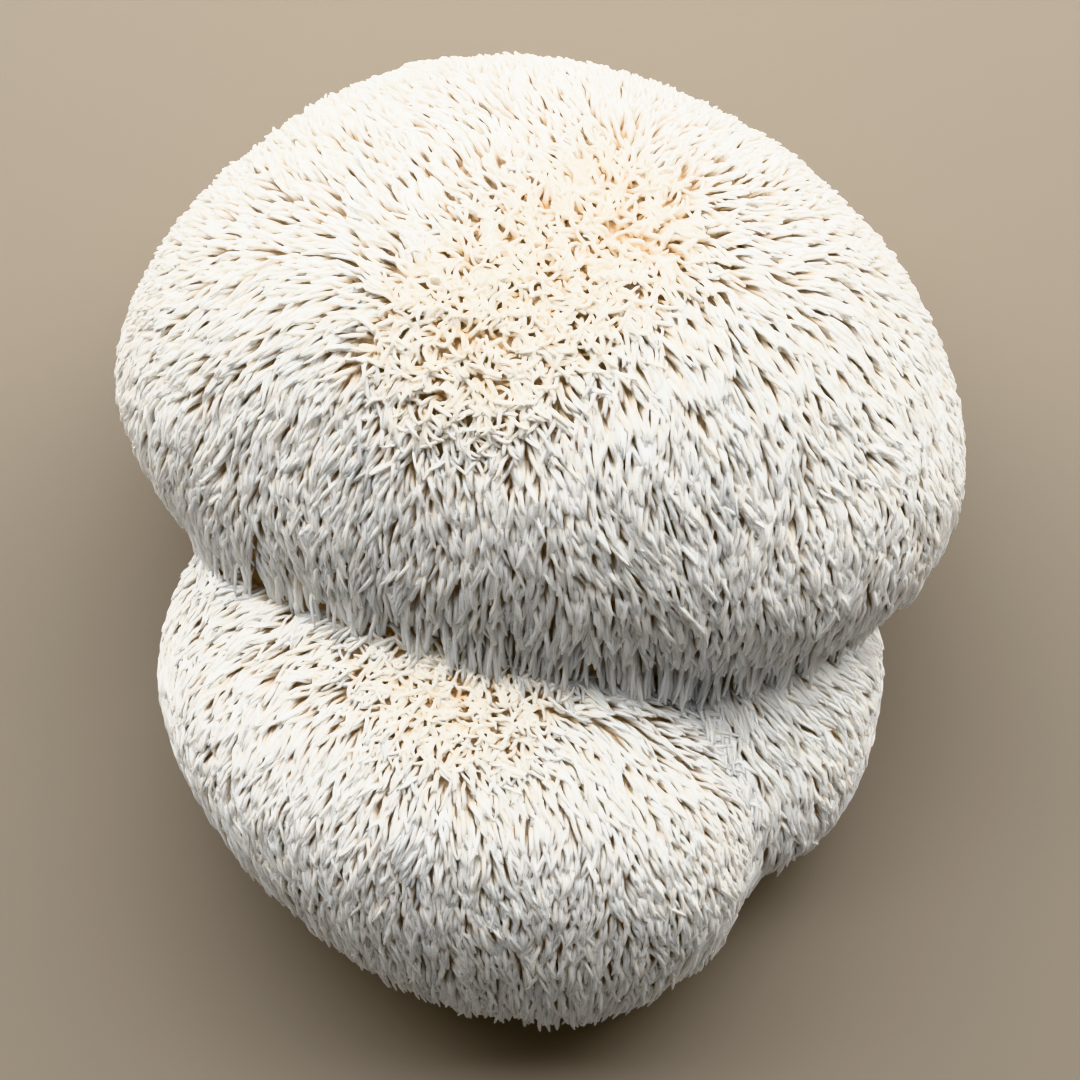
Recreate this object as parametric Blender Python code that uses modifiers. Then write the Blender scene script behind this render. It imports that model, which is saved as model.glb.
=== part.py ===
"""Lion's mane fungus: three rounded lobes grown together on one short base, cut off flat where it grew.

The cluster lies on its cut face, as picked. The origin is the middle of the cut face, +Z is up and away from
the cut, and -Y is the way that the spines hung while it grew. Each lobe's solid reaches the tips of the spines
that cover it.
"""

import math

import bmesh
import bpy
from mathutils import Euler, Matrix, Vector

MM = 0.001

# The seam between pieces that grew together.
SEAM = 0.3 * MM

# A lobe is a cage of four by four faces on each side of a cube, pushed out to a ball and smoothed twice.
# Smoothing pulls the cage in, so the cage starts larger by this much.
CAGE_CUTS = 3
SMOOTHING_LEVELS = 2
CAGE_SWELL = 1.045

# The lobes are soft and heavy: they fill out below, and lie flat this far above the level of the cut.
UNDERSIDE_FULLNESS = 0.16
UNDERSIDE_LEVEL = 1.5 * MM

# The cut base: an oval stub with the cut face at its foot, a little wider at the top.
BASE_HALF_WIDTH = 31 * MM
BASE_HALF_LENGTH = 24 * MM
BASE_HEIGHT = 20 * MM
BASE_FLARE = 1.12
BASE_SIDES = 40

# The upper lobe, the largest, overhangs the other two.
UPPER_CENTRE = (-1.5 * MM, 23 * MM, 55 * MM)
UPPER_HALF_SIZE = (76 * MM, 53.5 * MM, 51 * MM)
UPPER_TURN = -8

# The front lobe lies below it, its long side running from upper left to lower right.
FRONT_CENTRE = (-14 * MM, -49 * MM, 34 * MM)
FRONT_HALF_SIZE = (64.5 * MM, 45.5 * MM, 31 * MM)
FRONT_TURN = -34

# The side lobe is the smallest and sits lowest, between the other two.
SIDE_CENTRE = (36 * MM, -34 * MM, 24 * MM)
SIDE_HALF_SIZE = (32 * MM, 40 * MM, 20 * MM)
SIDE_TURN = -3

# The spines' weight draws a lobe's lower end down and out. At this distance below the lobe's centre it has sunk by
# the lobe's own droop, and reaches out by this part more.
DROOP_REACH = 50 * MM
DROOP_STRETCH = 0.10
UPPER_DROOP = 3 * MM
FRONT_DROOP = 20 * MM
SIDE_DROOP = 14 * MM

# A bulge is the way it faces (degrees from +X towards +Y, and degrees up), how wide it spreads (degrees), and
# how far it swells the lobe, as a part of the lobe's radius. A negative swell is a hollow.
UPPER_BULGES = (
    (-38, 0, 28, 0.21),
    (38, 0, 28, -0.03),
    (90, 0, 28, 0.10),
    (140, 0, 28, -0.10),
    (205, 0, 28, 0.06),
    (221, 44, 30, -0.17),
    (-38, 40, 30, -0.16),
)
FRONT_BULGES = (
    (45, 0, 28, -0.33),
    (-45, 0, 28, -0.07),
    (0, 0, 28, -0.04),
    (225, 0, 28, -0.04),
    (-78, 42, 34, -0.08),
)
SIDE_BULGES = (
    (0, 0, 28, -0.04),
    (-45, 0, 28, 0.02),
)

# Colours of the pieces: pale ivory spines, and the cream flesh of the cut.
IVORY = (0.86, 0.82, 0.73)
SHADED_IVORY = (0.80, 0.75, 0.65)
CUT_CREAM = (0.78, 0.66, 0.47)
SPINE_ROUGHNESS = 0.6
CUT_ROUGHNESS = 0.8


def new_collection(name):
    collection = bpy.data.collections.new(name)
    bpy.context.scene.collection.children.link(collection)
    return collection


def make_material(name, colour, roughness):
    material = bpy.data.materials.new(name)
    material.use_nodes = True
    shader = material.node_tree.nodes["Principled BSDF"]
    shader.inputs["Base Color"].default_value = (*colour, 1.0)
    shader.inputs["Roughness"].default_value = roughness
    shader.inputs["Metallic"].default_value = 0.0
    return material


def facing(azimuth, elevation):
    """The unit vector that faces this way, in degrees."""
    across = math.cos(math.radians(elevation))
    return Vector(
        (
            across * math.cos(math.radians(azimuth)),
            across * math.sin(math.radians(azimuth)),
            math.sin(math.radians(elevation)),
        )
    )


def swell_towards(direction, bulges):
    """How much the lobe is pushed out, or pulled in, where its surface faces this way."""
    below = max(0.0, -direction.z)
    across = math.hypot(direction.x, direction.y)
    swell = 1.0 + UNDERSIDE_FULLNESS * (2 * below * across) ** 2
    for azimuth, elevation, spread, amount in bulges:
        apart = direction.angle(facing(azimuth, elevation))
        swell += amount * math.exp(-((apart / math.radians(spread)) ** 2))
    return swell


def add_object(name, mesh, collection, material):
    obj = bpy.data.objects.new(name, mesh)
    collection.objects.link(obj)
    mesh.materials.append(material)
    mesh.shade_smooth()
    return obj


def sink_lower_end(place, droop):
    """Moves a point below the lobe's centre down by the droop there, and a little further out."""
    below = max(0.0, -place.y / DROOP_REACH)
    share = droop / FRONT_DROOP
    place.y *= 1.0 + DROOP_STRETCH * share * below
    place.z -= droop * below**2


def lobe_mesh(name, height, half_size, turn, bulges, droop):
    """A rounded cage about the lobe's own centre, which is this high above the cut."""
    cage = bmesh.new()
    bmesh.ops.create_cube(cage, size=2.0)
    bmesh.ops.subdivide_edges(cage, edges=cage.edges[:], cuts=CAGE_CUTS, use_grid_fill=True)
    spin = Euler((0.0, 0.0, math.radians(turn))).to_matrix()
    for vert in cage.verts:
        direction = even_direction(vert.co)
        reach = CAGE_SWELL * swell_towards(spin @ direction, bulges)
        vert.co = spin @ Vector([reach * d * h for d, h in zip(direction, half_size)])
        sink_lower_end(vert.co, droop)
        vert.co.z = max(vert.co.z, UNDERSIDE_LEVEL - height)
    mesh = bpy.data.meshes.new(name)
    cage.to_mesh(mesh)
    cage.free()
    return mesh


def even_direction(corner):
    """The way from the middle to a point on the cube, spaced so that the faces come out even on the ball."""
    return Vector([math.tan(part * math.pi / 4) for part in corner]).normalized()


def smooth_out(obj):
    smoothing = obj.modifiers.new("rounding", "SUBSURF")
    smoothing.levels = SMOOTHING_LEVELS
    smoothing.render_levels = SMOOTHING_LEVELS


def make_lobe(name, centre, half_size, turn, bulges, droop, collection, material):
    mesh = lobe_mesh(name, centre[2], half_size, turn, bulges, droop)
    lobe = add_object(name, mesh, collection, material)
    lobe.location = centre
    smooth_out(lobe)
    return lobe


def base_mesh(name, grow):
    """The oval stub, larger all over by the given distance."""
    stub = bmesh.new()
    bmesh.ops.create_cone(
        stub,
        cap_ends=True,
        segments=BASE_SIDES,
        radius1=1.0,
        radius2=BASE_FLARE,
        depth=BASE_HEIGHT + grow,
        matrix=Matrix.Translation((0.0, 0.0, (BASE_HEIGHT + grow) / 2)),
    )
    for vert in stub.verts:
        vert.co.x *= BASE_HALF_WIDTH + grow
        vert.co.y *= BASE_HALF_LENGTH + grow
    mesh = bpy.data.meshes.new(name)
    stub.to_mesh(mesh)
    stub.free()
    return mesh


def make_cutter(obj, mesh, cutters):
    """A slightly larger copy of a piece, to cut its neighbours with."""
    cutter = bpy.data.objects.new("room_for_" + obj.name, mesh)
    cutter.location = obj.location
    cutters.objects.link(cutter)
    cutter.hide_render = True
    cutter.display_type = "WIRE"
    return cutter


def make_lobe_cutter(lobe, cutters):
    cutter = make_cutter(lobe, lobe.data.copy(), cutters)
    smooth_out(cutter)
    growth = cutter.modifiers.new("seam", "DISPLACE")
    growth.mid_level = 0.0
    growth.strength = SEAM
    return cutter


def cut_away(obj, cutter):
    cut = obj.modifiers.new(cutter.name, "BOOLEAN")
    cut.operation = "DIFFERENCE"
    cut.object = cutter


def main():
    for obj in list(bpy.data.objects):
        bpy.data.objects.remove(obj)

    pieces = new_collection("lions_mane_mushroom")
    cutters = new_collection("cutters")
    cutters.hide_render = True

    upper_skin = make_material("upper_spines", IVORY, SPINE_ROUGHNESS)
    front_skin = make_material("front_spines", IVORY, SPINE_ROUGHNESS)
    side_skin = make_material("side_spines", SHADED_IVORY, SPINE_ROUGHNESS)
    cut_flesh = make_material("cut_flesh", CUT_CREAM, CUT_ROUGHNESS)

    upper_shape = (UPPER_CENTRE, UPPER_HALF_SIZE, UPPER_TURN, UPPER_BULGES, UPPER_DROOP)
    front_shape = (FRONT_CENTRE, FRONT_HALF_SIZE, FRONT_TURN, FRONT_BULGES, FRONT_DROOP)
    side_shape = (SIDE_CENTRE, SIDE_HALF_SIZE, SIDE_TURN, SIDE_BULGES, SIDE_DROOP)
    upper = make_lobe("upper_lobe", *upper_shape, pieces, upper_skin)
    front = make_lobe("front_lobe", *front_shape, pieces, front_skin)
    side = make_lobe("side_lobe", *side_shape, pieces, side_skin)
    base = add_object("cut_base", base_mesh("cut_base", 0.0), pieces, cut_flesh)
    base.data.set_sharp_from_angle(angle=math.radians(40))

    room_for_base = make_cutter(base, base_mesh("room_for_base", SEAM), cutters)
    room_for_base.location.z = -SEAM
    room_for_upper = make_lobe_cutter(upper, cutters)
    room_for_front = make_lobe_cutter(front, cutters)

    cut_away(upper, room_for_base)
    for cutter in (room_for_base, room_for_upper):
        cut_away(front, cutter)
    for cutter in (room_for_base, room_for_upper, room_for_front):
        cut_away(side, cutter)


main()
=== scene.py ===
# %% [markdown]
# # Lion's mane mushroom
# A picked cluster of lion's mane: three rounded heads on one short base, covered with soft ivory spines. It lies
# on the cut that took it from what it grew on, so its back is down and the camera looks straight down on it.
# The heads of the frame are plain solids that reach the tips of the spines. Here they become flesh and spines.

# %% Load the frame
import math

import bmesh
import bpy
import numpy as np
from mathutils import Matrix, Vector, noise
from mathutils.bvhtree import BVHTree
from mathutils.kdtree import KDTree


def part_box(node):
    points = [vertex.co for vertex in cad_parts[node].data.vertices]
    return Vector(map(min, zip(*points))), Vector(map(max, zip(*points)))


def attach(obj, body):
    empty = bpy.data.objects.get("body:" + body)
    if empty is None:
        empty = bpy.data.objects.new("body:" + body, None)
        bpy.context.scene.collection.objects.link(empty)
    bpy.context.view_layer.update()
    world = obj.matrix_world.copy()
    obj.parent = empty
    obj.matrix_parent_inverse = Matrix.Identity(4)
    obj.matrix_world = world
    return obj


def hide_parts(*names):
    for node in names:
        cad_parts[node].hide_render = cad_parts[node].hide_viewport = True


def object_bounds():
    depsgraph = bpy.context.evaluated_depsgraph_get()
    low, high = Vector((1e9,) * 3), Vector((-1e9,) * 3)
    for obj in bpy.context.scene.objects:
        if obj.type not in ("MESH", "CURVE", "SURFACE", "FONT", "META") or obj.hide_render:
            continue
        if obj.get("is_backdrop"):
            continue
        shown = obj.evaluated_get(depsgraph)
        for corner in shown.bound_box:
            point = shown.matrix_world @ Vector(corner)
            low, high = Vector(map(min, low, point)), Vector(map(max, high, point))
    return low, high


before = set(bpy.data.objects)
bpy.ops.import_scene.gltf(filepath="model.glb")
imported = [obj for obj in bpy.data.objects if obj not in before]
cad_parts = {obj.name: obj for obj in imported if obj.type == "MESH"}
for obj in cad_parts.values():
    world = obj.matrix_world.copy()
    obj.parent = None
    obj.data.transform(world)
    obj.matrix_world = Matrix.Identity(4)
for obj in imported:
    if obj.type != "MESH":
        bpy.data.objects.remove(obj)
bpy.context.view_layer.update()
scene = bpy.context.scene
MM = 0.001
LOBES = ("upper_lobe", "front_lobe", "side_lobe")
BASE = "cut_base"
draw = np.random.default_rng(1821)


# %% [markdown]
# ## Working with many points
# A head carries thousands of spines, too many to place one by one. Their places are kept in numpy arrays, one
# row for each spine, so that one line of sums moves them all. These helpers carry points between meshes and
# arrays, and answer the question that comes up most: where on a surface is the place nearest to a point?

# %% Helpers for selection and arrays
def only(*objects):
    """Selects these objects and no others, and makes the first one active."""
    bpy.ops.object.select_all(action="DESELECT")
    for obj in objects:
        obj.select_set(True)
    bpy.context.view_layer.objects.active = objects[0]


def read_points(mesh, what="co"):
    """The places of a mesh's points, or with "normal" the ways they face, one row each."""
    found = np.empty(len(mesh.vertices) * 3, np.float32)
    mesh.vertices.foreach_get(what, found)
    return found.reshape(-1, 3).astype(float)


def write_points(mesh, points):
    mesh.vertices.foreach_set("co", points.astype(np.float32).ravel())
    mesh.update()


def apply_modifier(obj, kind, **settings):
    """Adds a modifier to an object and applies it at once."""
    only(obj)
    modifier = obj.modifiers.new(kind.lower(), kind)
    for name, value in settings.items():
        setattr(modifier, name, value)
    bpy.ops.object.modifier_apply(modifier=modifier.name)


def dot(first, second):
    return (first * second).sum(axis=-1, keepdims=True)


def unit(vectors):
    return vectors / np.maximum(np.linalg.norm(vectors, axis=-1, keepdims=True), 1e-9)


def across(vectors, normals):
    """The part of each vector that lies along the surface."""
    return vectors - dot(vectors, normals) * normals


def ramp(value, low, high):
    """0 below low, 1 above high, and a smooth step between."""
    part = np.clip((value - low) / (high - low), 0.0, 1.0)
    return part * part * (3.0 - 2.0 * part)


def blend(first, second, share):
    return first + (second - first) * share


def search_tree(mesh):
    places = [vert.co.copy() for vert in mesh.vertices]
    return BVHTree.FromPolygons(places, [tuple(face.vertices) for face in mesh.polygons])


def nearest_on(tree, points):
    """The nearest places on a surface, and the ways it faces there."""
    found = [tree.find_nearest(Vector(point)) for point in points]
    places = np.array([hit[0] for hit in found])
    normals = np.array([hit[1] for hit in found])
    return places, normals


def noise_at(points, size):
    """Soft noise at each point, from about -0.5 to 0.5, with lumps of this size."""
    return np.array([noise.noise(Vector(point) / size) for point in points])[:, None]


# %% [markdown]
# ## The skin
# The solids of the frame meet in thin gaps. Real heads are grown together there. Copies of the solids are joined
# and remeshed, which melts the gaps and gives one closed skin of even faces. The tips of the spines lie on it.

# %% Melt the heads together
SKIN_VOXEL = 2.3 * MM
SKIN_SMOOTHING = 2
SAME_PLACE = 0.01 * MM


def copy_of_node(name):
    """A copy of a solid of the frame, with its loose triangles merged."""
    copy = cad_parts[name].copy()
    copy.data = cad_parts[name].data.copy()
    copy.parent = None
    for key in list(copy.keys()):
        del copy[key]
    scene.collection.objects.link(copy)
    merged = bmesh.new()
    merged.from_mesh(copy.data)
    bmesh.ops.remove_doubles(merged, verts=merged.verts, dist=SAME_PLACE)
    merged.to_mesh(copy.data)
    merged.free()
    return copy


copies = [copy_of_node(name) for name in (*LOBES, BASE)]
solid_trees = {name: search_tree(copy.data) for name, copy in zip((*LOBES, BASE), copies)}
flesh = copies[0]
only(*copies)
bpy.ops.object.join()
flesh.name = flesh.data.name = "flesh"
flesh.data.materials.clear()
apply_modifier(flesh, "REMESH", mode="VOXEL", voxel_size=SKIN_VOXEL, use_smooth_shade=True)
apply_modifier(flesh, "SMOOTH", factor=0.5, iterations=SKIN_SMOOTHING)
skin_points = read_points(flesh.data)
skin_normals = read_points(flesh.data, "normal")
skin_tree = search_tree(flesh.data)
print("skin:", len(flesh.data.polygons), "faces, up to", round(skin_points[:, 2].max() / MM, 1), "mm high")


# %% [markdown]
# ## How the spines grow
# Each head has a crown, where the spines are short and curly and lie every way. Away from the crown they turn
# outward and lengthen. Where the head faced the ground while it grew, they hang straight down, long and thick.
# The head was picked and laid on its back, so that way down now points along the table, at HANG.
# These few rules give each point of the skin a way, a length and a distance from the crown.

# %% Crowns, ways and lengths
HANG = unit(np.array([0.0, -0.86, -0.51]))
# The two ends of each crown's ridge, seen from above.
CROWN_RIDGES = {
    "upper_lobe": ((-13 * MM, 22 * MM), (11 * MM, 43 * MM)),
    "front_lobe": ((-44 * MM, -18 * MM), (-12 * MM, -34 * MM)),
    "side_lobe": ((13 * MM, -26 * MM), (19 * MM, -28 * MM)),
}
CROWN_REACH = (3 * MM, 27 * MM)
CROWN_LENGTH, FLANK_LENGTH, HANGING_LENGTH, BACK_LENGTH = 5.0 * MM, 7.4 * MM, 11.5 * MM, 6.4 * MM
CROWN_LEAN, FLANK_LEAN, BACK_LEAN = 52, 69, 50
# The flesh lies this part of the spines' height below the skin, and never nearer than the least depth.
DEPTH_SHARE, LEAST_DEPTH = 0.6, 1.3 * MM


def nearest_lobe(points):
    """The number of the head that each point belongs to."""
    apart = [np.linalg.norm(nearest_on(solid_trees[name], points)[0] - points, axis=1) for name in LOBES]
    return np.argmin(apart, axis=0)


def top_of(tree, x, y):
    """The highest place on a solid at x, y."""
    return np.array(tree.ray_cast(Vector((x, y, 1.0)), Vector((0, 0, -1)))[0])


def away_from_crown(points, lobes):
    """The step from the nearest place on each head's crown ridge to each point."""
    away = np.empty_like(points)
    for number, name in enumerate(LOBES):
        start, end = [top_of(solid_trees[name], *place) for place in CROWN_RIDGES[name]]
        mine = lobes == number
        share = np.clip(dot(points[mine] - start, end - start) / dot(end - start, end - start), 0, 1)
        away[mine] = points[mine] - blend(start, end, share)
    return away


def growth(points, normals, lobes):
    """Each spine's way, its length, and its distance from the crown from 0 to 1."""
    away = away_from_crown(points, lobes)
    spread = ramp(np.linalg.norm(away, axis=1, keepdims=True), *CROWN_REACH)
    behind = ramp(normals[:, 1:2], -0.05, 0.6)
    hanging = spread * ramp(dot(normals, HANG), 0.08, 0.65)
    outward = unit(across(away, normals))
    front = ramp(-normals[:, 1:2], 0.1, 0.7)
    flow = unit(outward + across(HANG, normals) * (1 - behind) * (0.2 + 0.7 * spread + 1.4 * front))
    lean = np.radians(blend(CROWN_LEAN, blend(FLANK_LEAN, BACK_LEAN, behind), spread))
    way = unit(blend(normals * np.cos(lean) + flow * np.sin(lean), HANG, hanging))
    length = blend(CROWN_LENGTH, blend(FLANK_LENGTH, BACK_LENGTH, behind), spread)
    return way, blend(length, HANGING_LENGTH, hanging), spread, hanging


skin_growth = growth(skin_points, skin_normals, nearest_lobe(skin_points))
skin_ways, skin_lengths, skin_spread, skin_hanging = skin_growth
depths = np.maximum(skin_lengths * dot(skin_ways, skin_normals) * DEPTH_SHARE, LEAST_DEPTH)
print("spines are", skin_lengths.min() / MM, "to", skin_lengths.max() / MM, "mm long, and the flesh is",
      round(depths.min() / MM, 1), "to", round(depths.max() / MM, 1), "mm below the skin")


# %% [markdown]
# ## The flesh
# Under the spines is pale, slightly spongy flesh. It is the skin, sunk by part of the height of the spines that
# stand on it. A Smooth modifier evens out the creases, where sinking bunches the points up.

# %% Sink the skin to the flesh
FLESH_SMOOTHING = 6

write_points(flesh.data, skin_points - skin_normals * depths)
apply_modifier(flesh, "SMOOTH", factor=0.5, iterations=FLESH_SMOOTHING)
flesh_points = read_points(flesh.data)
print("flesh: from", (flesh_points.min(axis=0) / MM).round(1), "to", (flesh_points.max(axis=0) / MM).round(1))


# %% [markdown]
# ## Roots
# Spines crowd each other evenly: no two roots are closer than a set distance. Points are thrown at random over
# the flesh, by area, and each one that is kept rules out those too close to it. The part that faces the table is
# hidden, so its spines stand further apart there.

# %% Scatter the roots
CROWN_SPACING, FLANK_SPACING, HANGING_SPACING, HIDDEN_SPACING = 0.74 * MM, 0.92 * MM, 1.12 * MM, 2.4 * MM
TRIES_PER_SQUARE_MM = 6.0

flesh.data.calc_loop_triangles()
corners = np.empty(len(flesh.data.loop_triangles) * 3, np.int32)
flesh.data.loop_triangles.foreach_get("vertices", corners)
corners = corners.reshape(-1, 3)
first, second, third = flesh_points[corners].transpose(1, 0, 2)
areas = np.linalg.norm(np.cross(second - first, third - first), axis=1) / 2
tries = int(areas.sum() / MM**2 * TRIES_PER_SQUARE_MM)
picked = corners[draw.choice(len(corners), tries, p=areas / areas.sum())]
far, side = np.sqrt(draw.random(tries)), draw.random(tries)
shares = np.stack([1 - far, far * (1 - side), far * side], axis=1)[:, :, None]


def at_tries(values):
    """Values of the skin's points, blended to each try."""
    return (values[picked] * shares).sum(axis=1)


try_roots = at_tries(flesh_points)
spacing = blend(CROWN_SPACING, FLANK_SPACING, at_tries(skin_spread))
spacing = blend(spacing, HANGING_SPACING, at_tries(skin_hanging))
spacing = blend(spacing, HIDDEN_SPACING, ramp(-at_tries(skin_normals)[:, 2:3], 0.35, 0.8))[:, 0]
try_tree = KDTree(tries)
for number, place in enumerate(try_roots):
    try_tree.insert(place, number)
try_tree.balance()
crowded = np.zeros(tries, bool)
kept = []
for number in range(tries):
    if not crowded[number]:
        kept.append(number)
        for _, other, _ in try_tree.find_range(try_roots[number], spacing[number]):
            crowded[other] = True
print("roots:", tries, "tries,", len(kept), "kept on", round(areas.sum() / MM**2), "square mm")


# %% [markdown]
# ## Leave out what would grow into a neighbour
# The heads press on each other in deep creases. A spine that would end well inside another head is left out, and
# so is one on the cut base, which is bare. A ray is sent up from a tip that may be inside: it is inside if the
# ray crosses the surface an odd number of times.

# %% Find the spines that are free
MOST_SUNK = 1.5 * MM
BASE_ROOM = 1.5 * MM
RAY_STEP = 0.01 * MM


def is_inside(tree, point):
    """Whether a point is inside a closed surface."""
    crossings = 0
    start = Vector(point)
    while True:
        hit, _, _, _ = tree.ray_cast(start, Vector((0, 0, 1)))
        if hit is None:
            return crossings % 2 == 1
        crossings += 1
        start = hit + Vector((0, 0, RAY_STEP))


def sinks_into_neighbour(points, lobes):
    """Whether each point is deeper than MOST_SUNK inside a head that isn't its own."""
    sunk = np.zeros(len(points), bool)
    for number, name in enumerate(LOBES):
        others = np.flatnonzero(lobes != number)
        places, _ = nearest_on(solid_trees[name], points[others])
        deep = others[np.linalg.norm(places - points[others], axis=1) > MOST_SUNK]
        deep = [one for one in deep if points[one][2] < solid_tops[name]]
        sunk[deep] = [is_inside(solid_trees[name], points[one]) for one in deep]
    return sunk


solid_tops = {name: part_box(name)[1][2] for name in LOBES}
kept = np.array(kept)
outer = at_tries(skin_points)[kept]
lobes = nearest_lobe(outer)
reach = try_roots[kept] + at_tries(skin_ways * skin_lengths)[kept]
on_base, _ = nearest_on(solid_trees[BASE], outer)
free = np.linalg.norm(on_base - outer, axis=1) > BASE_ROOM
free &= ~sinks_into_neighbour(reach, lobes)
kept, outer, lobes = kept[free], outer[free], lobes[free]
count = len(kept)
print("spines:", count, "are free:", [int((lobes == number).sum()) for number in range(len(LOBES))])


# %% [markdown]
# ## Each spine's curve
# A spine is a curve with four points: its root, two bends, and its tip. It leaves the flesh steeply and leans
# over further up. Chance turns it a little about the flesh and bends it sideways, and does far more of both at the
# crown, where it curls. Then its tip is drawn close to the skin, so that the head keeps its round outline.

# %% Roots, bends and tips
SWIRL_SIZE, LOCK_SIZE, SWELL_SIZE = 18 * MM, 4.5 * MM, 11 * MM
SWIRL_TURN, LOCK_TURN, CROWN_LOCK_TURN = 24, 22, 55
FLANK_TURN, CROWN_TURN = 10, 72
FLANK_JITTER, CROWN_JITTER = 0.06, 0.25
HANGING_CALM = 0.6
TIP_SCATTER, HANGING_SCATTER = 0.42 * MM, 1.3 * MM
TIP_LEVEL, TIP_SWELL = -0.4 * MM, 1.0 * MM
TIP_HOLD, HANGING_HOLD = 0.85, 0.6
FLANK_UPRIGHT, CROWN_UPRIGHT = 0.5, 0.8
FIRST_BEND, SECOND_BEND = 0.36, 0.72
BEND_RISE = 0.1
FLANK_BOW, CROWN_BOW = 0.05, 0.42


def at_spines(values):
    return at_tries(values)[kept]


def chance(spread_of=1.0):
    """A random number for each spine, gathered round 0."""
    return draw.normal(size=(count, 1)).clip(-2.2, 2.2) * spread_of


roots = at_spines(flesh_points)
normals = unit(at_spines(skin_normals))
spread = at_spines(skin_spread).clip(0, 1)
hanging = at_spines(skin_hanging).clip(0, 1)
curl = (1.0 - spread) ** 1.5
ways = unit(at_spines(skin_ways))
lengths = at_spines(skin_lengths) * (1.0 + chance(0.13))

turn = SWIRL_TURN * noise_at(outer, SWIRL_SIZE) + chance(blend(FLANK_TURN, CROWN_TURN, curl))
turn += blend(LOCK_TURN, CROWN_LOCK_TURN, curl) * noise_at(outer, LOCK_SIZE)
turn = np.radians(turn * (1 - HANGING_CALM * hanging))
upward = dot(ways, normals) * normals
flow = ways - upward
flow = flow * np.cos(turn) + np.cross(normals, flow) * np.sin(turn)
jitter = draw.normal(size=(count, 3)).clip(-2, 2) * blend(FLANK_JITTER, CROWN_JITTER, curl)
ways = unit(upward + flow + jitter)
tips = roots + ways * lengths
on_skin, skin_way = nearest_on(skin_tree, tips)
level = TIP_LEVEL + chance(blend(TIP_SCATTER, HANGING_SCATTER, hanging)) + TIP_SWELL * noise_at(outer, SWELL_SIZE)
tips -= skin_way * (dot(tips - on_skin, skin_way) - level) * blend(TIP_HOLD, HANGING_HOLD, hanging)
aside = unit(np.cross(normals, ways))
bow = blend(FLANK_BOW, CROWN_BOW, curl)
steep = unit(blend(ways, normals, blend(FLANK_UPRIGHT, CROWN_UPRIGHT, curl)))
low_bends = roots + (steep * FIRST_BEND + aside * chance(bow)) * lengths
high_bends = blend(roots, tips, SECOND_BEND) + (normals * BEND_RISE + aside * chance(bow)) * lengths
print("tips are", round(float(np.linalg.norm(tips - roots, axis=1).mean()) / MM, 1), "mm from their roots")


# %% [markdown]
# ## Tufts
# Damp spines cling together in small tufts. Every fifth spine leads, and each of the others moves its tip part of
# the way to the nearest leader's tip. The share differs from spine to spine, so a tuft stays loose.

# %% Draw the tips together in tufts
LEADERS = 0.2
LEAST_GATHER, MOST_GATHER = 0.05, 0.5
LOW_FOLLOWS, HIGH_FOLLOWS = 0.1, 0.6
FLOOR_ROOM = 0.4 * MM

leaders = np.flatnonzero(draw.random(count) < LEADERS)
tuft_tree = KDTree(len(leaders))
for leader in leaders:
    tuft_tree.insert(tips[leader], int(leader))
tuft_tree.balance()
led_by = [tuft_tree.find(tip)[1] for tip in tips]
gather = draw.uniform(LEAST_GATHER, MOST_GATHER, (count, 1)) * blend(0.35, 1.0, spread)
pull = (tips[led_by] - tips) * gather
tips += pull
low_bends += pull * LOW_FOLLOWS
high_bends += pull * HIGH_FOLLOWS
low = tips[:, 2] < FLOOR_ROOM
tips[low, 2] = FLOOR_ROOM * (1 + 2 * draw.random(low.sum()))
for bends in (low_bends, high_bends):
    bends[:, 2] = np.maximum(bends[:, 2], FLOOR_ROOM)
print("tufts:", len(leaders), "of about", round(count / len(leaders), 1), "spines")


# %% [markdown]
# ## One spine
# A spine is a soft tooth, round in section, thickest at its root, with a blunt tip. One is modelled: a
# ring, extruded upward ring by ring, drawn in, and closed at the tip. Four sides with smooth shading look round
# at this size. The needle has few rings, and the curl of the crown has more, because it bends more.

# %% Model a needle and a curl
SIDES = 4
# Each ring's place along the spine, and its width as a share of the widest.
NEEDLE_RINGS = ((0.0, 1.0), (0.42, 1.0), (0.74, 0.88), (0.94, 0.5))
CURL_RINGS = ((0.0, 1.0), (0.25, 1.0), (0.48, 1.0), (0.68, 0.98), (0.84, 0.9), (0.95, 0.62))


def model_spine(rings):
    """The points and the faces of a spine one high and one in radius."""
    bpy.ops.object.select_all(action="DESELECT")
    bpy.ops.mesh.primitive_circle_add(vertices=SIDES, radius=rings[0][1], fill_type="NOTHING")
    spine = bpy.context.object
    bpy.ops.object.mode_set(mode="EDIT")
    bpy.ops.mesh.select_all(action="SELECT")
    for (at, width), (next_at, next_width) in zip(rings, rings[1:]):
        bpy.ops.mesh.extrude_region_move(TRANSFORM_OT_translate={"value": (0, 0, next_at - at)})
        drawn_in = next_width / width
        bpy.ops.transform.resize(value=(drawn_in, drawn_in, 1), center_override=(0, 0, next_at))
    bpy.ops.mesh.extrude_region_move(TRANSFORM_OT_translate={"value": (0, 0, 1 - rings[-1][0])})
    bpy.ops.mesh.merge(type="CENTER")
    bpy.ops.mesh.select_all(action="DESELECT")
    bpy.ops.mesh.select_non_manifold()
    bpy.ops.mesh.edge_face_add()
    bpy.ops.mesh.select_all(action="SELECT")
    bpy.ops.mesh.normals_make_consistent(inside=False)
    bpy.ops.object.mode_set(mode="OBJECT")
    points = read_points(spine.data)
    faces = [list(face.vertices) for face in spine.data.polygons]
    side = spine.data.polygons[0]
    if side.normal.dot(side.center * Vector((1, 1, 0))) < 0:
        faces = [face[::-1] for face in faces]
    bpy.data.objects.remove(spine)
    return points, faces


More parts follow.
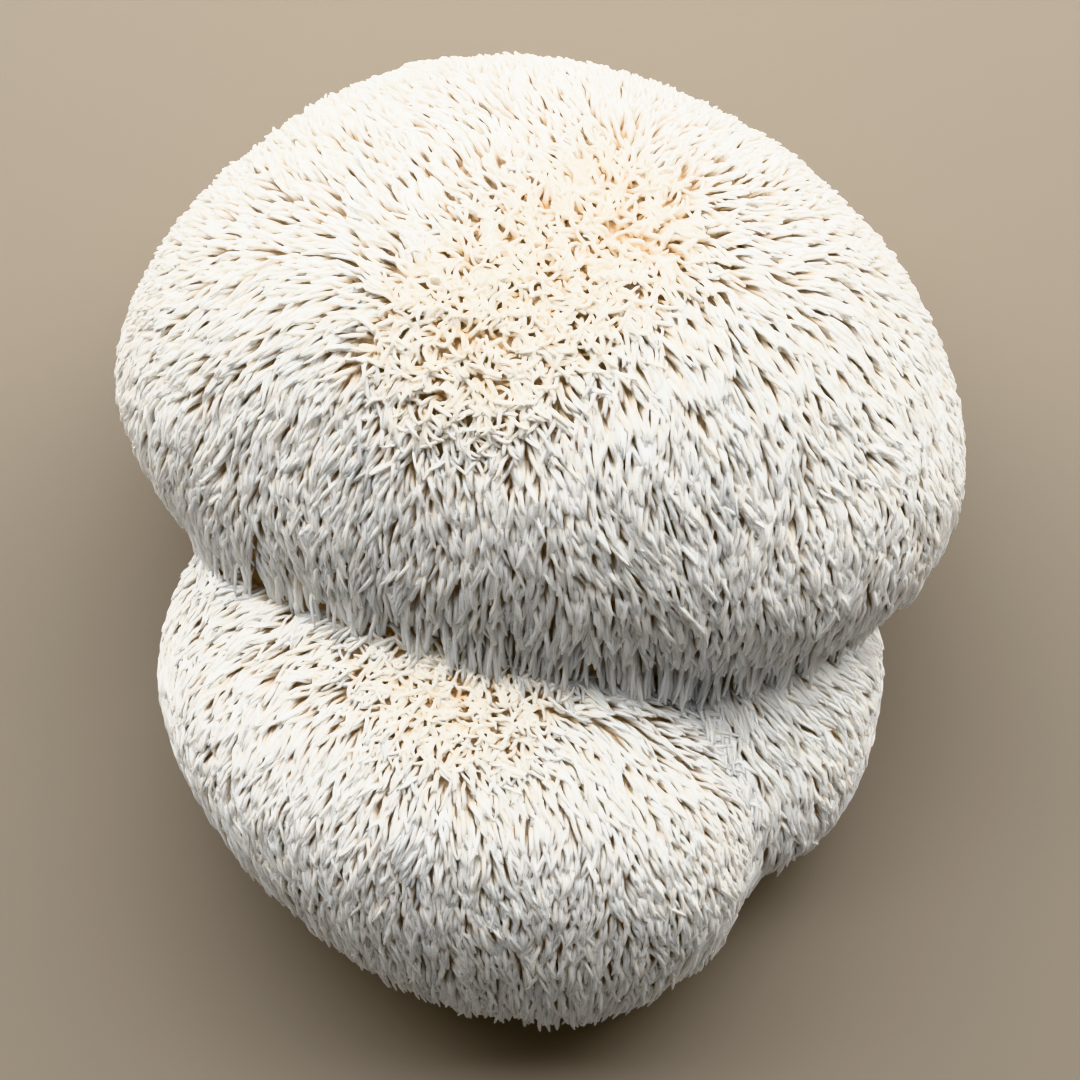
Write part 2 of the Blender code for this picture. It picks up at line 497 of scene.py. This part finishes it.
NEEDLE = model_spine(NEEDLE_RINGS)
CURL = model_spine(CURL_RINGS)
print("needle:", len(NEEDLE[0]), "points,", len(NEEDLE[1]), "faces; curl:", len(CURL[0]), "and", len(CURL[1]))


# %% [markdown]
# ## The map of a spine
# The look of a spine changes from root to tip, so each one is unwrapped onto an upright strip: round the
# spine is across the strip, and root to tip is up it. There are 64 strips side by side. Which strip a spine lies
# on tells the material how near the crown it grew and how pale it is, and all spines share the same strips.

# %% Map the faces and choose the strips
TONES = 8
STRIP_MARGIN = 0.12
ROOT_HEIGHT, TIP_HEIGHT = 0.02, 0.98
SEAM = 1e-6


def spine_map(points, faces):
    """For each corner of the faces, its place round the spine and along it, both from 0 to 1."""
    places = []
    for face in faces:
        turns = [math.atan2(points[v][1], points[v][0]) / math.tau % 1.0 for v in face]
        pointed = [math.hypot(*points[v][:2]) < SEAM for v in face]
        known = [turn for turn, point in zip(turns, pointed) if not point]
        if max(known) - min(known) > 0.5:
            turns = [turn + 1.0 if turn < 0.5 else turn for turn in turns]
            known = [turn for turn, point in zip(turns, pointed) if not point]
        for vert, turn, point in zip(face, turns, pointed):
            places.append((sum(known) / len(known) if point else turn, points[vert][2]))
    return np.array(places)


def strips_of(which):
    """The strip that each of these spines lies on."""
    warmth = (1 - spread[which, 0]) * (TONES - 1) + draw.normal(size=len(which)) * 0.8
    warmth = np.clip(np.rint(warmth), 0, TONES - 1)
    return warmth * TONES + draw.integers(0, TONES, len(which))


# %% [markdown]
# ## Build the spines
# Each spine is a copy of the pattern's points, carried along its own curve. The rings stay square to the curve,
# which keeps the spine round where it bends. All of a head's spines are joined in a few meshes, each small
# enough to save whole.

# %% Bend copies of the pattern along the curves
CURL_RADIUS, NEEDLE_RADIUS, HANGING_RADIUS = 0.46 * MM, 0.42 * MM, 0.50 * MM
FLATNESS = 0.78
ABOVE_FLOOR = 0.05 * MM


sideways = unit(np.cross(low_bends - roots, tips - low_bends) + SEAM * MM)


def bent_copies(points, which):
    """The pattern's points, bent along the curves of these spines."""
    root, low_bend, high_bend, tip = [part[which, None] for part in (roots, low_bends, high_bends, tips)]
    along = points[None, :, 2:3]
    middle = root * (1 - along) ** 3 + low_bend * 3 * along * (1 - along) ** 2
    middle = middle + high_bend * 3 * along**2 * (1 - along) + tip * along**3
    heading = (low_bend - root) * (1 - along) ** 2 + (high_bend - low_bend) * 2 * along * (1 - along)
    heading = unit(heading + (tip - high_bend) * along**2)
    aside = unit(across(sideways[which, None], heading))
    over = np.cross(heading, aside) * FLATNESS
    bent = middle + (aside * points[None, :, 0:1] + over * points[None, :, 1:2]) * radii[which, None]
    bent[..., 2] = np.maximum(bent[..., 2], ABOVE_FLOOR)
    return bent


def join_copies(name, pattern, which):
    """One mesh of a bent copy of the pattern for each of these spines."""
    points, faces = pattern
    sizes = np.tile([len(face) for face in faces], len(which))
    loops = np.concatenate(faces)[None] + np.arange(len(which))[:, None] * len(points)
    mesh = bpy.data.meshes.new(name)
    mesh.vertices.add(len(which) * len(points))
    mesh.vertices.foreach_set("co", bent_copies(points, which).astype(np.float32).ravel())
    mesh.loops.add(loops.size)
    mesh.loops.foreach_set("vertex_index", loops.astype(np.int32).ravel())
    mesh.polygons.add(len(sizes))
    mesh.polygons.foreach_set("loop_start", (np.cumsum(sizes) - sizes).astype(np.int32))
    mesh.polygons.foreach_set("use_smooth", np.ones(len(sizes), bool))
    mesh.update(calc_edges=True)
    places = spine_map(points, faces)
    strips = strips_of(which)[:, None]
    u = (strips + blend(STRIP_MARGIN, 1 - STRIP_MARGIN, places[None, :, 0])) / TONES**2
    v = np.broadcast_to(blend(ROOT_HEIGHT, TIP_HEIGHT, places[None, :, 1]), u.shape)
    layer = mesh.uv_layers.new(name="OFBake")
    layer.data.foreach_set("uv", np.stack([u, v], axis=-1).astype(np.float32).ravel())
    obj = bpy.data.objects.new(name, mesh)
    scene.collection.objects.link(obj)
    return obj


# %% Join them head by head
MOST_TRIANGLES = 190_000
CURLS_BELOW = 0.55

radii = blend(CURL_RADIUS, blend(NEEDLE_RADIUS, HANGING_RADIUS, hanging), spread)
radii *= draw.uniform(0.86, 1.14, (count, 1))
spine_pieces = {}
total = 0
for number, lobe_name in enumerate(LOBES):
    for kind, pattern, chosen in (("curls", CURL, spread < CURLS_BELOW), ("needles", NEEDLE, spread >= CURLS_BELOW)):
        mine = np.flatnonzero((lobes == number) & chosen[:, 0])
        mine = mine[np.argsort(roots[mine, 0], kind="stable")]
        triangles = sum(len(face) - 2 for face in pattern[1])
        parts = math.ceil(len(mine) * triangles / MOST_TRIANGLES)
        for part, which in enumerate(np.array_split(mine, parts), 1):
            name = f"{lobe_name.split('_')[0]}_{kind}_{part}"
            spine_pieces[name] = (join_copies(name, pattern, which), lobe_name)
            total += len(which) * triangles
            print(name, len(which), "spines,", len(which) * triangles, "triangles")
print("triangles in all:", total)


# %% [markdown]
# ## The cut base
# The knife left a flat oval of firm white flesh. It is modelled from the knife's cut upward: a ring, drawn to an
# oval and extruded up in steps that round the rim and widen into the heads, then closed at both ends. The cut face
# is filled with a grid, because a face of one piece can't be dented.

# %% Model the cut base
BASE_HALF_WIDTH, BASE_HALF_LENGTH = 31 * MM, 24 * MM
# The height of each ring of the wall, and its width as a share of the cut's.
WALL_RINGS = ((0, 0.985), (0.2 * MM, 0.996), (0.7 * MM, 1.004), (3 * MM, 1.015), (7 * MM, 1.04), (12 * MM, 1.07),
              (20 * MM, 1.12))
BASE_SIDES = 144
CUT_LEVEL = 0.01 * MM
DENT_SIZE, DENT_DEPTH, RIM_KEPT = 7 * MM, 0.7 * MM, 0.12
BUMP_SIZE, BUMP_HEIGHT = 5 * MM, 1.0 * MM


def select_level(obj, level):
    """In edit mode, selects the points at this height and no others."""
    bpy.ops.mesh.select_all(action="DESELECT")
    editing = bmesh.from_edit_mesh(obj.data)
    for vert in editing.verts:
        vert.select = abs(vert.co.z - level) < CUT_LEVEL
    editing.select_flush_mode()
    bmesh.update_edit_mesh(obj.data)


bpy.ops.object.select_all(action="DESELECT")
bpy.ops.mesh.primitive_circle_add(vertices=BASE_SIDES, radius=BASE_HALF_WIDTH, fill_type="NOTHING")
base = bpy.context.object
base.name = base.data.name = "base"
bpy.ops.object.mode_set(mode="EDIT")
bpy.ops.mesh.select_all(action="SELECT")
first_width = WALL_RINGS[0][1]
oval = (first_width, first_width * BASE_HALF_LENGTH / BASE_HALF_WIDTH, 1)
bpy.ops.transform.resize(value=oval, center_override=(0, 0, 0))
for (low, width), (high, next_width) in zip(WALL_RINGS, WALL_RINGS[1:]):
    bpy.ops.mesh.extrude_region_move(TRANSFORM_OT_translate={"value": (0, 0, high - low)})
    widening = next_width / width
    bpy.ops.transform.resize(value=(widening, widening, 1), center_override=(0, 0, high))
bpy.ops.mesh.edge_face_add()
select_level(base, 0)
bpy.ops.mesh.fill_grid(span=BASE_SIDES // 4)
bpy.ops.mesh.select_all(action="SELECT")
bpy.ops.mesh.normals_make_consistent(inside=False)
bpy.ops.object.mode_set(mode="OBJECT")
bpy.ops.object.shade_smooth()

points = read_points(base.data)
ways_out = read_points(base.data, "normal")
on_cut = points[:, 2:3] < CUT_LEVEL
out_share = np.hypot(points[:, 0:1] / BASE_HALF_WIDTH, points[:, 1:2] / BASE_HALF_LENGTH)
dents = DENT_DEPTH * (0.5 + noise_at(points, DENT_SIZE)).clip(0, 1) * ramp(1 - out_share, 0, RIM_KEPT)
bumps = BUMP_HEIGHT * noise_at(points, BUMP_SIZE) * ramp(points[:, 2:3], 0, 3 * MM)
points += np.where(on_cut, dents * np.array([[0, 0, 1]]), bumps * ways_out * np.array([[1, 1, 0]]))
write_points(base.data, points)
print("base:", len(base.data.polygons), "faces, dents up to", round(dents.max() / MM, 2), "mm")


# %% [markdown]
# ## Materials
# Nothing here is one flat colour. A spine is ivory at its tip and warmer at the crown, and tan towards its root;
# that tan is partly the spine's own tone and partly painted shade for the shadow between spines. It lets light in,
# so subsurface scattering softens the shade between spines. The flesh below is a little spongy, and its tan is
# partly its own tone and partly painted shade between the spines.
# The cut is cream, with fine pores and a tanned rim. Flesh and cut share one effect, a soft mottling of lumps and
# grains, which is a node group with its own inputs.

# %% Node helpers
def new_material(name):
    material = bpy.data.materials.new(name)
    material.use_nodes = True
    return material, material.node_tree, material.node_tree.nodes["Principled BSDF"]


def set_or_link(tree, socket, value):
    """Sets a socket to a number or a colour, or links it to another node's output."""
    if isinstance(value, bpy.types.NodeSocket):
        tree.links.new(value, socket)
    elif isinstance(value, tuple) and len(value) == 3 and socket.type == "RGBA":
        socket.default_value = (*value, 1.0)
    else:
        socket.default_value = value


def maths(tree, operation, *values):
    node = tree.nodes.new("ShaderNodeMath")
    node.operation = operation
    for socket, value in zip(node.inputs, values):
        set_or_link(tree, socket, value)
    return node.outputs[0]


def mixed(tree, share, first, second):
    """A colour between two others."""
    node = tree.nodes.new("ShaderNodeMix")
    node.data_type = "RGBA"
    set_or_link(tree, node.inputs["Factor"], share)
    set_or_link(tree, node.inputs[6], first)
    set_or_link(tree, node.inputs[7], second)
    return node.outputs[2]


def stepped(tree, value, low, high, start=0.0, end=1.0):
    """A smooth step of a value."""
    node = tree.nodes.new("ShaderNodeMapRange")
    node.interpolation_type = "SMOOTHSTEP"
    for socket, given in zip(node.inputs, (value, low, high, start, end)):
        set_or_link(tree, socket, given)
    return node.outputs[0]


# %% The spine material
# The root colours are darker and tan: partly the spines' own tone, partly painted shade between the spines.
WARM_ROOT, COOL_ROOT = (0.94, 0.74, 0.49), (0.90, 0.80, 0.66)
WARM_TIP, COOL_TIP = (0.96, 0.94, 0.885), (0.93, 0.945, 0.95)
DULL = (0.62, 0.52, 0.40)

spine_skin, tree, shader = new_material("spine_skin")
uv = tree.nodes.new("ShaderNodeUVMap")
uv.uv_map = "OFBake"
place = tree.nodes.new("ShaderNodeSeparateXYZ")
tree.links.new(uv.outputs[0], place.inputs[0])
strip = maths(tree, "MULTIPLY", place.outputs[0], TONES)
warmth = maths(tree, "DIVIDE", maths(tree, "FLOOR", strip), TONES - 1)
shade = maths(tree, "FLOOR", maths(tree, "MULTIPLY", maths(tree, "FRACT", strip), TONES))
shade = maths(tree, "DIVIDE", shade, TONES - 1)
# Painted shade: the root end is a darker tan, standing in partly for the shadow between spines.
root_tone_and_shade = mixed(tree, warmth, COOL_ROOT, WARM_ROOT)
tip_colour = mixed(tree, warmth, COOL_TIP, WARM_TIP)
tip_colour = mixed(tree, maths(tree, "MULTIPLY", maths(tree, "SUBTRACT", 1.0, shade), 0.16), tip_colour, DULL)
# How far up each spine the darker root, partly painted shade, reaches before the ivory.
ivory_from = maths(tree, "SUBTRACT", 0.62, maths(tree, "MULTIPLY", shade, 0.2))
body = mixed(tree, stepped(tree, place.outputs[1], 0.0, ivory_from), root_tone_and_shade, tip_colour)
tree.links.new(body, shader.inputs["Base Color"])
shader.inputs["Roughness"].default_value = 0.55
shader.inputs["Specular IOR Level"].default_value = 0.3
shader.subsurface_method = "BURLEY"
shader.inputs["Subsurface Weight"].default_value = 0.65
shader.inputs["Subsurface Radius"].default_value = (1.0, 0.88, 0.74)
shader.inputs["Subsurface Scale"].default_value = 0.0016
for piece, lobe_name in spine_pieces.values():
    piece.data.materials.append(spine_skin)
    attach(piece, "root")
    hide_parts(lobe_name)

# %% The soft mottling that flesh and cut share
def new_group(name, inputs, outputs):
    """A node group with these sockets, the sockets it is given and the sockets it gives."""
    group = bpy.data.node_groups.new(name, "ShaderNodeTree")
    for label, kind, value in inputs:
        group.interface.new_socket(name=label, in_out="INPUT", socket_type=kind).default_value = value
    for label, kind in outputs:
        group.interface.new_socket(name=label, in_out="OUTPUT", socket_type=kind)
    return group, group.nodes.new("NodeGroupInput").outputs, group.nodes.new("NodeGroupOutput").inputs


def object_place(tree):
    return tree.nodes.new("ShaderNodeTexCoord").outputs["Object"]


def noise_node(tree, place, size, detail):
    """Noise from 0 to 1 with lumps of this size."""
    node = tree.nodes.new("ShaderNodeTexNoise")
    node.inputs["Detail"].default_value = detail
    tree.links.new(place, node.inputs["Vector"])
    set_or_link(tree, node.inputs["Scale"], maths(tree, "DIVIDE", 1.0, size))
    return node.outputs[0]


mottling, given, gives = new_group(
    "soft_mottling",
    (
        ("Light", "NodeSocketColor", (0.9, 0.8, 0.6, 1)),
        ("Dark", "NodeSocketColor", (0.5, 0.4, 0.3, 1)),
        ("Lump Size", "NodeSocketFloat", 6 * MM),
        ("Grain Size", "NodeSocketFloat", 1 * MM),
    ),
    (("Colour", "NodeSocketColor"), ("Height", "NodeSocketFloat")),
)
place = object_place(mottling)
lumps = noise_node(mottling, place, given["Lump Size"], 2.0)
grains = noise_node(mottling, place, given["Grain Size"], 4.0)
height = maths(mottling, "ADD", maths(mottling, "MULTIPLY", lumps, 0.6), maths(mottling, "MULTIPLY", grains, 0.4))
colour = mixed(mottling, stepped(mottling, height, 0.36, 0.64), given["Dark"], given["Light"])
mottling.links.new(colour, gives["Colour"])
mottling.links.new(height, gives["Height"])


def mottled(tree, light, dark, lump_size, grain_size):
    """The colour and the height of a mottled surface."""
    node = tree.nodes.new("ShaderNodeGroup")
    node.node_tree = mottling
    for socket, value in zip(node.inputs, (light, dark, lump_size, grain_size)):
        set_or_link(tree, socket, value)
    return node.outputs["Colour"], node.outputs["Height"]


def bump(tree, shader, height, depth):
    """Lets a height from 0 to 1 shade the surface as if it stood this far out."""
    node = tree.nodes.new("ShaderNodeBump")
    node.inputs["Distance"].default_value = depth
    tree.links.new(height, node.inputs["Height"])
    tree.links.new(node.outputs["Normal"], shader.inputs["Normal"])


# %% The flesh material
# The flesh's tan is partly its own tone and partly painted shade for the shadow it lies in between the spines.
FLESH_LIGHT, FLESH_DARK = (0.95, 0.77, 0.54), (0.91, 0.66, 0.43)

flesh_skin, tree, shader = new_material("flesh_skin")
colour, height = mottled(tree, FLESH_LIGHT, FLESH_DARK, 5 * MM, 0.8 * MM)
tree.links.new(colour, shader.inputs["Base Color"])
bump(tree, shader, height, 0.6 * MM)
shader.inputs["Roughness"].default_value = 0.8
shader.subsurface_method = "BURLEY"
shader.inputs["Subsurface Weight"].default_value = 0.65
shader.inputs["Subsurface Radius"].default_value = (1.0, 0.88, 0.74)
shader.inputs["Subsurface Scale"].default_value = 0.0016
shader.inputs["Specular IOR Level"].default_value = 0.3
flesh.data.materials.append(flesh_skin)
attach(flesh, "root")
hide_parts(*LOBES)

# %% The cut face material
CREAM, CREAM_DARK = (0.90, 0.83, 0.68), (0.78, 0.66, 0.47)
TAN = (0.55, 0.36, 0.19)
PORE = (0.50, 0.36, 0.22)
PORE_SPACING = 1.6 * MM

cut_flesh, tree, shader = new_material("cut_flesh")
colour, height = mottled(tree, CREAM, CREAM_DARK, 8 * MM, 0.9 * MM)
pores = tree.nodes.new("ShaderNodeTexVoronoi")
tree.links.new(object_place(tree), pores.inputs["Vector"])
pores.inputs["Scale"].default_value = 1 / PORE_SPACING
pore = stepped(tree, pores.outputs["Distance"], 0.10, 0.26, 1.0, 0.0)
pore = maths(tree, "MULTIPLY", pore, stepped(tree, noise_node(tree, object_place(tree), 9 * MM, 1.0), 0.45, 0.6))
colour = mixed(tree, maths(tree, "MULTIPLY", pore, 0.7), colour, PORE)
spot = tree.nodes.new("ShaderNodeSeparateXYZ")
tree.links.new(object_place(tree), spot.inputs[0])
out = [maths(tree, "POWER", maths(tree, "DIVIDE", spot.outputs[axis], half), 2.0)
       for axis, half in ((0, BASE_HALF_WIDTH), (1, BASE_HALF_LENGTH))]
out = maths(tree, "SQRT", maths(tree, "ADD", *out))
ragged = maths(tree, "MULTIPLY", noise_node(tree, object_place(tree), 3 * MM, 3.0), 0.12)
rim = stepped(tree, maths(tree, "ADD", out, ragged), 0.96, 1.06)
colour = mixed(tree, maths(tree, "MULTIPLY", rim, 0.75), colour, TAN)
tree.links.new(colour, shader.inputs["Base Color"])
bump(tree, shader, maths(tree, "SUBTRACT", height, maths(tree, "MULTIPLY", pore, 0.6)), 0.5 * MM)
shader.inputs["Roughness"].default_value = 0.7
shader.inputs["Specular IOR Level"].default_value = 0.35
base.data.materials.append(cut_flesh)
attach(base, "root")
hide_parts(BASE)


# %% [markdown]
# ## Floor, light and camera
# The floor is plain, in a muted tan that throws little light back up. One wide soft light stands in for a window
# beyond the top of the picture, and a weak even light fills the shadows.

# %% Floor and light
FLOOR_SIDE = 4.0
FLOOR_COLOUR = (0.30, 0.255, 0.20)
WINDOW_PLACE, WINDOW_TARGET = (0.0, 0.65, 0.69), (0, 0, 0.04)
WINDOW_SIDES, WINDOW_POWER, WINDOW_COLOUR = (2.4, 0.6), 32.0, (1.0, 0.99, 0.975)
ROOM_COLOUR, ROOM_STRENGTH = (0.98, 0.99, 1.0), 0.15

bpy.ops.object.select_all(action="DESELECT")
bpy.ops.mesh.primitive_plane_add(size=FLOOR_SIDE)
floor = bpy.context.object
floor.name = "floor"
floor_paint, tree, shader = new_material("floor_paint")
shader.inputs["Base Color"].default_value = (*FLOOR_COLOUR, 1)
shader.inputs["Roughness"].default_value = 0.9
floor.data.materials.append(floor_paint)
floor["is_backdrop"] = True

room = bpy.data.worlds.new("room")
scene.world = room
room.use_nodes = True
room.node_tree.nodes["Background"].inputs["Color"].default_value = (*ROOM_COLOUR, 1)
room.node_tree.nodes["Background"].inputs["Strength"].default_value = ROOM_STRENGTH

bpy.ops.object.light_add(type="AREA", location=WINDOW_PLACE)
window = bpy.context.object
window.name = "window"
window.data.shape = "RECTANGLE"
window.data.size, window.data.size_y = WINDOW_SIDES
window.data.energy = WINDOW_POWER
window.data.color = WINDOW_COLOUR
window.rotation_euler = (Vector(WINDOW_TARGET) - Vector(WINDOW_PLACE)).to_track_quat("-Z", "Y").to_euler()
scene.view_settings.view_transform = "Khronos PBR Neutral"

# %% Camera
CAMERA_HEIGHT = 0.445
PICTURE_CENTRE = (0.0, -0.008)
PICTURE_WIDTH, WIDTH_LEVEL = 0.203, 0.045

camera_data = bpy.data.cameras.new("camera")
camera_data.lens = camera_data.sensor_width * (CAMERA_HEIGHT - WIDTH_LEVEL) / PICTURE_WIDTH
camera_data.clip_start = 0.01
camera = bpy.data.objects.new("camera", camera_data)
camera.location = (*PICTURE_CENTRE, CAMERA_HEIGHT)
scene.collection.objects.link(camera)
scene.camera = camera
print("camera:", round(camera_data.lens, 1), "mm lens,", CAMERA_HEIGHT, "m up")

# %% Check the size and finish
low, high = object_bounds()
print("visual size in mm", [round(v / MM, 1) for v in high - low])
